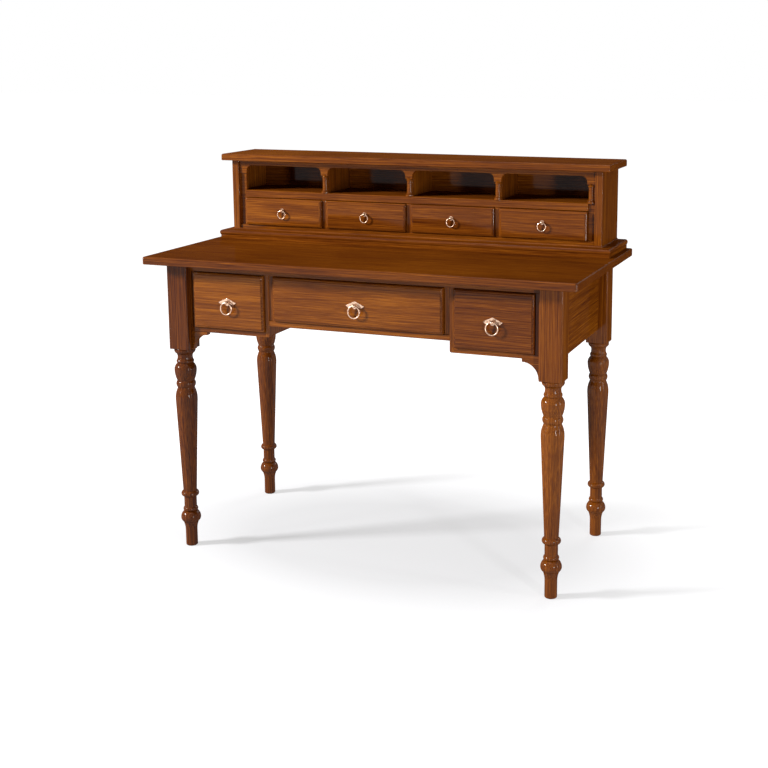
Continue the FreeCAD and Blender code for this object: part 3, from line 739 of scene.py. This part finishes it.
@dataclass(frozen=True)
class Sawing:
    """How boards are cut from their tree, which gives each one its own figure."""

    # A board lies up to this far from the middle of the tree's length.
    tree_half_mm: float = 4000.0
    # The heart of the tree lies this far behind a board's face, at least and at most.
    heart_mm: tuple[float, float] = (70.0, 150.0)
    # Boards with the same tone still differ by this much, to the dark or to the light.
    tone_spread: float = 0.02
    # A face whose normal has more than this share along the grain shows end grain.
    end_grain_share: float = 0.25

    def mark(
        self, mesh: Mesh, grain: Grain, name: str, tone: float, crossed: Optional[Grain] = None
    ) -> None:
        """Write where each corner of a board lies in its tree, in millimetres, and its tone.

        The first coordinate runs along the grain, the second across the board's width and the
        third through its thickness, counted from the heart.

        Args:
            mesh: Finished mesh of the board.
            grain: Axis of the grain.
            name: Name of the piece, which seeds its place in the tree.
            tone: How much lighter the board is than the average one.
            crossed: Axis of the grain on the faces that would else show end grain, where the
                piece is joined from boards that run two ways.
        """
        dice = random.Random(name)
        low, high = span(v.co for v in mesh.vertices)
        size = high - low
        centre = (low + high) / 2
        width, thickness = sorted(
            (axis for axis in range(3) if axis != grain.value), key=lambda axis: -size[axis]
        )
        shift = (
            dice.uniform(-self.tree_half_mm, self.tree_half_mm),
            dice.uniform(-0.5, 0.5) * size[width] / MM,
            dice.uniform(*self.heart_mm) + size[thickness] / MM / 2,
        )
        along = (grain.value, width, thickness)
        across = along
        if crossed is not None:
            across = (crossed.value, *(axis for axis in along if axis != crossed.value))
        values = []
        for polygon in mesh.polygons:
            end_grain = abs(polygon.normal[grain.value]) > self.end_grain_share
            axes = across if end_grain else along
            for index in polygon.vertices:
                away = (mesh.vertices[index].co - centre) / MM
                values += [away[axis] + offset for axis, offset in zip(axes, shift)]
        place = mesh.attributes.new(GRAIN_ATTRIBUTE, "FLOAT_VECTOR", "CORNER")
        place.data.foreach_set("vector", values)
        own_tone = tone + dice.uniform(-self.tone_spread, self.tone_spread)
        shade = mesh.attributes.new(TONE_AND_SHADE_ATTRIBUTE, "FLOAT", "POINT")
        shade.data.foreach_set("value", [own_tone] * len(mesh.vertices))


@dataclass
class Board:
    """A wooden piece that keeps the shape of its CAD node, with eased edges."""

    node: str
    grain: Grain
    body: str = "desk"
    tone: float = 0.0
    edge_mm: float = 0.7
    material_slot: str = "lacquered_wood"
    crossed: Optional[Grain] = None

    def build(self, material: Material) -> None:
        """Make the board and hang it on its body.

        Args:
            material: Its finish.
        """
        shape = solid_of(self.node, self.edge_mm)
        piece = fitted(self.node, shape, material, self.body)
        Sawing().mark(piece.data, self.grain, self.node, self.tone, self.crossed)


# ---- turned work -------------------------------------------------------------------------


class Turner:
    """Geometry Nodes tool that sweeps an outline round an upright axis, as a lathe does."""

    def __init__(self) -> None:
        """Build the tree, with its outline, sides, path radius and material as inputs."""
        tree = bpy.data.node_groups.new("outline_swept_round_axis", "GeometryNodeTree")
        for name, kind in (
            ("Outline", "NodeSocketGeometry"),
            ("Sides", "NodeSocketInt"),
            ("Path radius", "NodeSocketFloat"),
            ("Material", "NodeSocketMaterial"),
        ):
            tree.interface.new_socket(name, in_out="INPUT", socket_type=kind)
        tree.interface.new_socket("Turned", in_out="OUTPUT", socket_type="NodeSocketGeometry")
        given = add_node(tree, "NodeGroupInput").outputs
        circle = add_node(
            tree,
            "GeometryNodeCurvePrimitiveCircle",
            {"Resolution": given["Sides"], "Radius": given["Path radius"]},
        )
        level = add_node(
            tree, "GeometryNodeSetCurveNormal", {"Curve": circle.outputs["Curve"]}, mode="Z_UP"
        )
        outline = add_node(tree, "GeometryNodeMeshToCurve", {"Mesh": given["Outline"]})
        swept = add_node(
            tree,
            "GeometryNodeCurveToMesh",
            {"Curve": level.outputs["Curve"], "Profile Curve": outline.outputs["Curve"]},
        )
        merged = add_node(
            tree,
            "GeometryNodeMergeByDistance",
            {"Geometry": swept.outputs["Mesh"], "Distance": WELD_M},
        )
        real = add_node(
            tree, "GeometryNodeRealizeInstances", {"Geometry": merged.outputs["Geometry"]}
        )
        done = add_node(
            tree,
            "GeometryNodeSetMaterial",
            {"Geometry": real.outputs["Geometry"], "Material": given["Material"]},
        )
        add_node(tree, "NodeGroupOutput", {"Turned": done.outputs["Geometry"]})
        self.tree = tree
        self.sockets = {
            item.name: item.identifier
            for item in tree.interface.items_tree
            if item.in_out == "INPUT"
        }

    def turn(
        self,
        outline: Sequence[tuple[float, float]],
        material: Material,
        sides: int,
        path_radius: float,
        closed: bool = False,
    ) -> Mesh:
        """Sweep an outline round the Z axis.

        Args:
            outline: Distance from the axis and height of each point in metres, from the top
                down, or anticlockwise where the outline is closed.
            material: Finish of the piece.
            sides: Number of facets round the axis.
            path_radius: Radius of the circle that carries the outline, in metres.
            closed: Whether the last point joins the first.

        Returns:
            A plain mesh with its faces outward.
        """
        points = [(radius - path_radius, -height, 0.0) for radius, height in outline]
        pairs = [(index, index + 1) for index in range(len(points) - 1)]
        if closed:
            pairs.append((len(points) - 1, 0))
        wire = bpy.data.meshes.new("outline")
        wire.from_pydata(points, pairs, [])
        blank = show("outline", wire)
        lathe = blank.modifiers.new("lathe", "NODES")
        lathe.node_group = self.tree
        lathe[self.sockets["Sides"]] = sides
        lathe[self.sockets["Path radius"]] = path_radius
        lathe[self.sockets["Material"]] = material
        mesh = baked(blank)
        bpy.data.objects.remove(blank)
        return mesh


@dataclass
class Leg:
    """One leg, a square block over a turned shaft, made from one blank."""

    node: str
    tone: float = 0.0
    # The shaft lies inside this radius, and the corners of the block outside it.
    shaft_limit_mm: float = 32.0
    # The shaft reaches this far up into the block.
    tenon_mm: float = 1.0
    corner_round_mm: float = 4.0
    corner_steps: int = 6
    edge_mm: float = 0.8
    path_radius_mm: float = 1.0
    sides: int = 80

    def block_foot(self, points: Sequence[Vector], axis: Vector) -> float:
        """Find the height of the block's underside in metres."""
        limit = self.shaft_limit_mm * MM
        return min(point.z for point in points if (point.xy - axis).length > limit)

    def outline(
        self, points: Sequence[Vector], axis: Vector, foot: float
    ) -> list[tuple[float, float]]:
        """Read the outline of the shaft from the solid leg, and close it at both ends.

        Args:
            points: Points of the solid.
            axis: Place of the leg's upright axis.
            foot: Height of the block's underside.

        Returns:
            Distance from the axis and height of each station in metres, from the top down.
        """
        widest: dict[float, float] = {}
        for point in points:
            away = (point.xy - axis).length
            if point.z < foot + WELD_M and away < self.shaft_limit_mm * MM:
                height = round(point.z, 5)
                widest[height] = max(away, widest.get(height, 0.0))
        stations = [(widest[height], height) for height in sorted(widest, reverse=True)]
        head = foot + self.tenon_mm * MM
        return [(0.0, head), (stations[0][0], head), *stations, (0.0, stations[-1][1])]

    def block(self, low: Vector, high: Vector) -> Shape:
        """Square the block, with rounded corners.

        Args:
            low: Its lowest corner.
            high: Its highest corner.

        Returns:
            The block, in place.
        """
        size = high - low
        place = Matrix.Translation((low + high) / 2) @ Matrix.Diagonal((*size, 1.0))
        shape = bmesh.new()
        bmesh.ops.create_cube(shape, size=1.0, matrix=place)
        corners = [
            e for e in shape.edges if abs(e.verts[0].co.z - e.verts[1].co.z) > size.z / 2
        ]
        rounded(shape, corners, self.corner_round_mm, self.corner_steps)
        ease(shape, self.edge_mm)
        return shape

    def build(self, turner: Turner, wood: Material) -> None:
        """Make the leg.

        Args:
            turner: Tool that sweeps the outline.
            wood: Its finish.
        """
        points = solid_points(self.node)
        low, high = span(points)
        axis = ((low + high) / 2).xy
        foot = self.block_foot(points, axis)
        outline = self.outline(points, axis, foot)
        shaft = turner.turn(outline, wood, self.sides, self.path_radius_mm * MM)
        shaft.transform(Matrix.Translation((axis.x, axis.y, 0.0)))
        shape = self.block(Vector((low.x, low.y, foot)), high)
        shape.from_mesh(shaft)
        piece = fitted(self.node, shape, wood, "desk")
        Sawing().mark(piece.data, Grain.ALONG_Z, self.node, self.tone)


@dataclass(frozen=True)
class Ring:
    """The ring of a pull, bent from round wire, as it hangs at rest."""

    radius_mm: float
    wire_radius_mm: float
    sides: int = 64
    wire_sides: int = 16

    def shape(self, turner: Turner, metal: Material, node: str) -> Shape:
        """Sweep the wire round the ring, in the middle of the solid ring.

        Args:
            turner: Tool that sweeps the wire.
            metal: Its finish.
            node: Solid ring whose place it takes.

        Returns:
            The ring, in place.
        """
        wire = []
        for index in range(self.wire_sides):
            turn = math.tau * index / self.wire_sides
            away = self.radius_mm + self.wire_radius_mm * math.cos(turn)
            wire.append((away * MM, -self.wire_radius_mm * MM * math.sin(turn)))
        mesh = turner.turn(wire, metal, self.sides, self.radius_mm * MM, closed=True)
        low, high = span(solid_points(node))
        upright = Matrix.Rotation(math.radians(90), 4, "X")
        mesh.transform(Matrix.Translation((low + high) / 2) @ upright)
        shape = bmesh.new()
        shape.from_mesh(mesh)
        return shape


# ---- the desk ----------------------------------------------------------------------------


@dataclass
class Table:
    """The table: top, legs, aprons and the drawer cases."""

    # The top is made darker than the other boards: painted shade on the top.
    top_tone_with_painted_shade: float = -0.05
    # Each leg comes from a plank of its own, and the darker tones of the left legs are also
    # painted shade.
    leg_tones: tuple[tuple[str, float], ...] = (
        ("front_left", -0.11),
        ("front_right", 0.0),
        ("back_left", -0.07),
        ("back_right", -0.02),
    )

    def boards(self) -> list[Board]:
        """List the table's wooden pieces.

        Returns:
            Boards that keep their CAD shape.
        """
        boards = [
            Board("tabletop", Grain.ALONG_X, tone=self.top_tone_with_painted_shade),
            Board("back_apron", Grain.ALONG_X),
            Board("front_rail", Grain.ALONG_X),
            Board("case_bottom_middle", Grain.ALONG_X),
        ]
        for side in SIDES:
            boards += [
                Board(f"side_apron_{side}", Grain.ALONG_Y),
                Board(f"case_bottom_{side}", Grain.ALONG_X),
                Board(f"partition_{side}", Grain.ALONG_Z),
                Board(f"drawer_cheek_{side}", Grain.ALONG_Z),
                Board(f"corner_bracket_{side}", Grain.ALONG_X),
            ]
        return boards

    def build(self, finishes: Finishes, turner: Turner) -> None:
        """Make the table.

        Args:
            finishes: The desk's materials.
            turner: Tool for the turned shafts.
        """
        for board in self.boards():
            board.build(finishes.walnut)
        for place, tone in self.leg_tones:
            Leg(f"leg_{place}", tone).build(turner, finishes.walnut)


@dataclass
class Superstructure:
    """The low carcase on the back of the table, with its row of bays."""

    bays: int = 4

    def build(self, finishes: Finishes) -> None:
        """Make the superstructure without its drawers.

        Args:
            finishes: The desk's materials.
        """
        boards = [Board("base_moulding", Grain.ALONG_X, crossed=Grain.ALONG_Y)]
        for node in ("carcase_back", "carcase_floor", "cornice", "shelf", "arcade"):
            boards.append(Board(node, Grain.ALONG_X))
        for side in SIDES:
            boards.append(Board(f"carcase_side_{side}", Grain.ALONG_Z))
        for number in range(1, self.bays):
            boards.append(Board(f"drawer_partition_{number}", Grain.ALONG_Z))
            boards.append(Board(f"pigeonhole_divider_{number}", Grain.ALONG_Z))
        for board in boards:
            board.build(finishes.walnut)


@dataclass
class Drawer:
    """One drawer with its front, box, plate and ring."""

    name: str
    ring: Ring
    tone: float = 0.0
    plate_edge_mm: float = 0.3

    def build(self, finishes: Finishes, turner: Turner) -> None:
        """Make the drawer.

        Args:
            finishes: The desk's materials.
            turner: Tool that bends the ring.
        """
        body = f"drawer_{self.name}"
        front = Board(f"drawer_front_{self.name}", Grain.ALONG_X, body, self.tone)
        front.build(finishes.walnut)
        box = Board(
            f"drawer_box_{self.name}",
            Grain.ALONG_Y,
            body,
            material_slot="inner_wood",
            crossed=Grain.ALONG_X,
        )
        box.build(finishes.poplar)
        plate = f"pull_plate_{self.name}"
        fitted(plate, solid_of(plate, self.plate_edge_mm), finishes.silver, body)
        ring = f"pull_ring_{self.name}"
        shape = self.ring.shape(turner, finishes.silver, ring)
        fitted(ring, shape, finishes.silver, f"ring_{self.name}")


@dataclass
class DrawerSet:
    """The seven drawers, three in the table and four in the superstructure."""

    table_ring: Ring = Ring(radius_mm=15.3, wire_radius_mm=1.7)
    small_ring: Ring = Ring(radius_mm=11.2, wire_radius_mm=1.5)
    # The right drawer's darker tone is painted shade, darker away from the key lamp on the left.
    table_tones_and_painted_shade: tuple[tuple[str, float], ...] = (
        ("left", 0.0),
        ("middle", 0.02),
        ("right", -0.06),
    )
    small_tones: tuple[float, ...] = (0.0, -0.03, -0.01, -0.03)

    def build(self, finishes: Finishes, turner: Turner) -> None:
        """Make all the drawers.

        Args:
            finishes: The desk's materials.
            turner: Tool that bends the rings.
        """
        for name, tone in self.table_tones_and_painted_shade:
            Drawer(name, self.table_ring, tone).build(finishes, turner)
        for number, tone in enumerate(self.small_tones, start=1):
            Drawer(f"small_{number}", self.small_ring, tone).build(finishes, turner)


# ---- studio ------------------------------------------------------------------------------


@dataclass(frozen=True)
class SoftBox:
    """One rectangular lamp, in metres and watts."""

    name: str
    at_m: tuple[float, float, float]
    width_m: float
    height_m: float
    watts: float


@dataclass
class Studio:
    """White paper floor, a key lamp on the left, narrow fill lamps and a pale room."""

    floor_half_m: float = 30.0
    # How bright the room is to the desk, where 1 is the white that the camera sees.
    room_to_desk: float = 0.1
    aim_m: tuple[float, float, float] = (0.0, 0.0, 0.6)
    boxes: tuple[SoftBox, ...] = (
        SoftBox("left_key", (-4.7, -2.8, 3.0), 0.8, 0.8, 540),
        SoftBox("left_soft", (-2.5, -2.4, 1.5), 0.12, 1.6, 10),
        SoftBox("right_soft", (2.5, -2.1, 0.72), 0.26, 1.1, 42),
        SoftBox("right_strip", (3.2, -0.3, 1.0), 0.16, 1.8, 16),
        SoftBox("overhead", (0.0, -0.5, 3.4), 1.6, 1.0, 12),
        SoftBox("back_soft", (0.9, 3.3, 2.0), 1.6, 1.0, 30),
    )

    def lay_floor(self) -> None:
        """Lay the paper floor."""
        half = self.floor_half_m
        mesh = bpy.data.meshes.new("paper_floor")
        corners = [(-half, -half, 0), (half, -half, 0), (half, half, 0), (-half, half, 0)]
        mesh.from_pydata(corners, [], [(0, 1, 2, 3)])
        mesh.materials.append(StudioPaper().build())
        show("paper_floor", mesh)

    def light_room(self) -> None:
        """Light the room evenly; the camera and reflections see it as white."""
        world = bpy.data.worlds.new("pale_room")
        bpy.context.scene.world = world
        world.use_nodes = True
        tree = world.node_tree
        tree.nodes.clear()
        strength = add_node(
            tree,
            "ShaderNodeMapRange",
            {"Value": background_rays(tree), "To Min": self.room_to_desk, "To Max": 1.0},
        )
        light = add_node(
            tree,
            "ShaderNodeBackground",
            {"Color": WHITE, "Strength": strength.outputs["Result"]},
        )
        add_node(tree, "ShaderNodeOutputWorld", {"Surface": light.outputs["Background"]})

    def hang_lamp(self, box: SoftBox) -> None:
        """Hang one soft box.

        Args:
            box: The box.
        """
        data = bpy.data.lights.new(box.name, "AREA")
        data.shape = "RECTANGLE"
        data.size, data.size_y = box.width_m, box.height_m
        data.energy = box.watts
        lamp = bpy.data.objects.new(box.name, data)
        lamp.location = box.at_m
        away = Vector(box.at_m) - Vector(self.aim_m)
        lamp.rotation_euler = away.to_track_quat("Z", "Y").to_euler()
        bpy.context.scene.collection.objects.link(lamp)

    def build(self) -> None:
        """Set up the whole studio."""
        self.lay_floor()
        self.light_room()
        for box in self.boxes:
            self.hang_lamp(box)


@dataclass
class Viewpoint:
    """The camera, measured in millimetres and pixels of a square 768 pixel frame."""

    position_mm: tuple[float, float, float] = (1313.97, -3096.2, 1312.44)
    yaw_deg: float = 20.41
    pitch_deg: float = 9.84
    roll_deg: float = -0.11
    focal_px: float = 1302.29
    centre_px: tuple[float, float] = (450.0, 275.0)
    frame_px: float = 768.0
    sensor_mm: float = 36.0

    def build(self) -> None:
        """Make the camera and give it to the scene."""
        data = bpy.data.cameras.new("view")
        data.sensor_fit = "HORIZONTAL"
        data.sensor_width = self.sensor_mm
        data.lens = self.focal_px / self.frame_px * self.sensor_mm
        data.shift_x = 0.5 - self.centre_px[0] / self.frame_px
        data.shift_y = self.centre_px[1] / self.frame_px - 0.5
        camera = bpy.data.objects.new("view", data)
        turn = (
            Matrix.Rotation(math.radians(self.yaw_deg), 4, "Z")
            @ Matrix.Rotation(math.radians(90 - self.pitch_deg), 4, "X")
            @ Matrix.Rotation(math.radians(self.roll_deg), 4, "Z")
        )
        camera.matrix_world = Matrix.Translation(Vector(self.position_mm) * MM) @ turn
        bpy.context.scene.collection.objects.link(camera)
        bpy.context.scene.camera = camera


def main() -> None:
    """Build the desk and its studio."""
    logging.basicConfig(level=logging.INFO, format="%(name)s %(message)s")
    bpy.context.scene.view_settings.view_transform = "Standard"
    finishes = Finishes()
    Viewpoint().build()
    Studio().build()
    turner = Turner()
    Table().build(finishes, turner)
    Superstructure().build(finishes)
    DrawerSet().build(finishes, turner)


if __name__ == "__main__":
    main()
